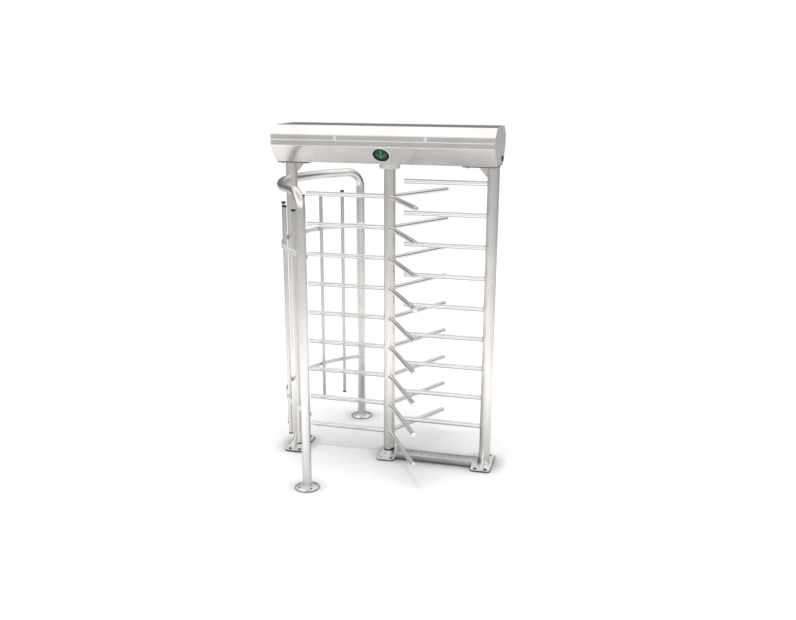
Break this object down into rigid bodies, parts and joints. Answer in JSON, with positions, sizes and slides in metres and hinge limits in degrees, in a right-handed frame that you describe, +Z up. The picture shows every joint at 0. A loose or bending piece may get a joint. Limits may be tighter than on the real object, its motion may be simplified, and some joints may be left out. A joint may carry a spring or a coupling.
{
  "type": "full height turnstile",
  "caption": "Full height security turnstile: a rotor with tiers of three arms turns between a fixed comb and a round cage, under a long head with the locking mechanism and lights.",
  "frame": {"origin": "on the floor, where the rotor's axis meets it, at the centre of the rotor base's underside", "axes": "+Z up along the rotor's axis; +X to the right along the head, from the cage towards the comb; -Y towards the viewer, the front side with an indicator; +Y the back side with the lid hinges"},
  "size_m": [1.476, 1.439, 2.3],
  "materials": {
    "satin_steel": "satin, brushed round the tubes",
    "bright_steel": "polished, with soft highlights along the tubes",
    "sheet_steel": "satin sheet, brushed along its length",
    "machined_steel": "turned and ground",
    "bracket_steel": "zinc plated, with lacquered copper coils on the magnets",
    "black_lock": "black, slightly glossy",
    "green_glass": "dark tinted lens that glows green in part",
    "grey_enamel": "baked grey enamel",
    "grey_case": "fine grained grey plastic"
  },
  "bodies": {
    "stand": {"rotor_base": "satin_steel", "left_post": "satin_steel", "right_post": "satin_steel", "left_foot": "bright_steel", "right_foot": "bright_steel", "floor_rail": "satin_steel", "comb_arm_1": "bright_steel", "comb_arm_2": "bright_steel", "comb_arm_3": "bright_steel", "comb_arm_4": "bright_steel", "comb_arm_5": "bright_steel", "comb_arm_6": "bright_steel", "comb_arm_7": "bright_steel", "comb_arm_8": "bright_steel", "comb_arm_9": "bright_steel", "cage_hoop": "satin_steel", "cage_flange_front": "bright_steel", "cage_flange_back": "bright_steel", "cage_bar_back_1": "satin_steel", "cage_bar_front_1": "satin_steel", "cage_bar_back_2": "satin_steel", "cage_bar_front_2": "satin_steel", "cage_bar_back_3": "satin_steel", "cage_bar_front_3": "satin_steel", "cage_band_1": "bright_steel", "cage_band_2": "bright_steel", "head_tray": "sheet_steel", "left_end_cap": "sheet_steel", "right_end_cap": "sheet_steel", "lid_hinge_left": "machined_steel", "lid_hinge_right": "machined_steel", "indicator_bezel_front": "bright_steel", "indicator_lens_front": "green_glass", "indicator_bezel_back": "bright_steel", "indicator_lens_back": "green_glass", "bearing_housing": "satin_steel", "top_bearing": "machined_steel", "damper_body": "grey_enamel", "lock_bracket": "bracket_steel", "control_box": "grey_case", "power_supply": "grey_case"},
    "rotor": {"rotor_column": "satin_steel", "rotor_arms_tier_1": "bright_steel", "rotor_arms_tier_2": "bright_steel", "rotor_arms_tier_3": "bright_steel", "rotor_arms_tier_4": "bright_steel", "rotor_arms_tier_5": "bright_steel", "rotor_arms_tier_6": "bright_steel", "rotor_arms_tier_7": "bright_steel", "rotor_arms_tier_8": "bright_steel", "rotor_arms_tier_9": "bright_steel", "bottom_bearing": "machined_steel", "lock_disc": "machined_steel", "drive_gear": "machined_steel"},
    "damper_wheel": {"damper_pinion": "machined_steel"},
    "pawl_front": {"lock_pawl_front": "machined_steel"},
    "pawl_back": {"lock_pawl_back": "machined_steel"},
    "lid": {"roof_lid": "sheet_steel"},
    "lock": {"key_lock": "black_lock"}
  },
  "joints": [
    {"name": "rotor_spin", "type": "hinge", "parent": "stand", "child": "rotor", "pos_m": [0, 0, 0], "axis": [0, 0, 1], "continuous": true},
    {"name": "damper_spin", "type": "hinge", "parent": "stand", "child": "damper_wheel", "pos_m": [0.12, 0, 0], "axis": [0, 0, 1], "continuous": true},
    {"name": "pawl_front_swing", "type": "hinge", "parent": "stand", "child": "pawl_front", "pos_m": [-0.104, -0.07, 0], "axis": [0, 0, -1], "range_deg": [0, 12], "stiffness_Nm_per_rad": 0.5},
    {"name": "pawl_back_swing", "type": "hinge", "parent": "stand", "child": "pawl_back", "pos_m": [-0.104, 0.07, 0], "axis": [0, 0, 1], "range_deg": [0, 12], "stiffness_Nm_per_rad": 0.5},
    {"name": "lid_hinge", "type": "hinge", "parent": "stand", "child": "lid", "pos_m": [0, 0.2723, 2.207], "axis": [-1, 0, 0], "range_deg": [0, 75]},
    {"name": "lock_turn", "type": "hinge", "parent": "stand", "child": "lock", "pos_m": [0.72, 0.091, 2.096], "axis": [1, 0, 0], "range_deg": [0, 90]}
  ],
  "couplings": [
    {"joint": "damper_spin", "follows": "rotor_spin", "ratio": -3}
  ]
}
